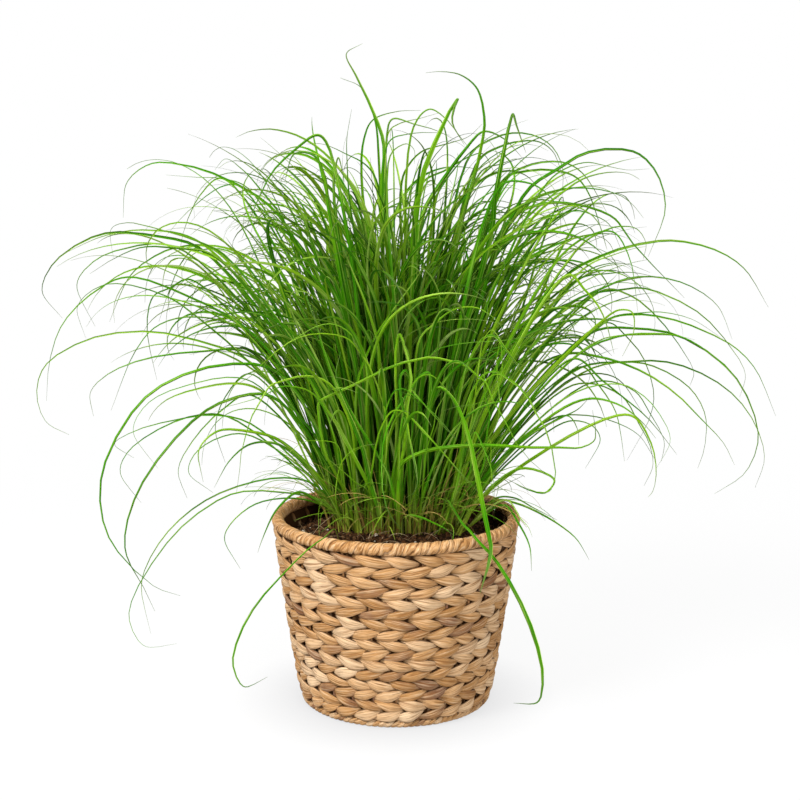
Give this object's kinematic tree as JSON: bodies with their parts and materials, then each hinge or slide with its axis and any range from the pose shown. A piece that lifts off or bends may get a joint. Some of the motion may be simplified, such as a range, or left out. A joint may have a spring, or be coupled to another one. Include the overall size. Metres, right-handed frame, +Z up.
{
  "type": "potted umbrella sedge",
  "caption": "Tuft of long, arching, grass-like sedge leaves growing in soil in a round twined-fibre basket with a wrapped rim.",
  "frame": {"origin": "centre of the basket's underside, on the ground", "axes": "+Z up, -Y the front that the picture shows, +X to its right"},
  "size_m": [0.628, 0.5067, 0.5512],
  "materials": {
    "twined_fibre": "dry, streaky twined plant fibre",
    "wrapped_cord": "dry plant fibre wrapped in fine turns",
    "peat_soil": "rough, matt, fibrous peat",
    "leaf_green": "satin, finely ribbed leaf blades"
  },
  "bodies": {
    "root": {"basket_wall": "twined_fibre", "basket_floor": "twined_fibre", "rim_wrap": "wrapped_cord", "foot_cord": "wrapped_cord", "soil": "peat_soil", "shoot_01": "leaf_green", "shoot_02": "leaf_green", "shoot_03": "leaf_green", "shoot_04": "leaf_green", "shoot_05": "leaf_green", "shoot_06": "leaf_green", "shoot_07": "leaf_green", "shoot_08": "leaf_green", "shoot_09": "leaf_green", "shoot_10": "leaf_green", "shoot_11": "leaf_green", "shoot_12": "leaf_green", "shoot_13": "leaf_green", "shoot_14": "leaf_green", "shoot_15": "leaf_green", "shoot_16": "leaf_green", "shoot_17": "leaf_green", "shoot_18": "leaf_green", "shoot_19": "leaf_green", "shoot_20": "leaf_green", "shoot_21": "leaf_green", "shoot_22": "leaf_green", "shoot_23": "leaf_green", "shoot_24": "leaf_green", "shoot_25": "leaf_green", "shoot_26": "leaf_green", "shoot_27": "leaf_green", "shoot_28": "leaf_green", "shoot_29": "leaf_green", "shoot_30": "leaf_green", "shoot_31": "leaf_green", "shoot_32": "leaf_green", "shoot_33": "leaf_green", "shoot_34": "leaf_green", "shoot_35": "leaf_green", "shoot_36": "leaf_green", "shoot_37": "leaf_green", "shoot_38": "leaf_green", "shoot_39": "leaf_green", "shoot_40": "leaf_green", "shoot_41": "leaf_green", "shoot_42": "leaf_green", "shoot_43": "leaf_green", "shoot_44": "leaf_green", "shoot_45": "leaf_green"}
  },
  "joints": []
}
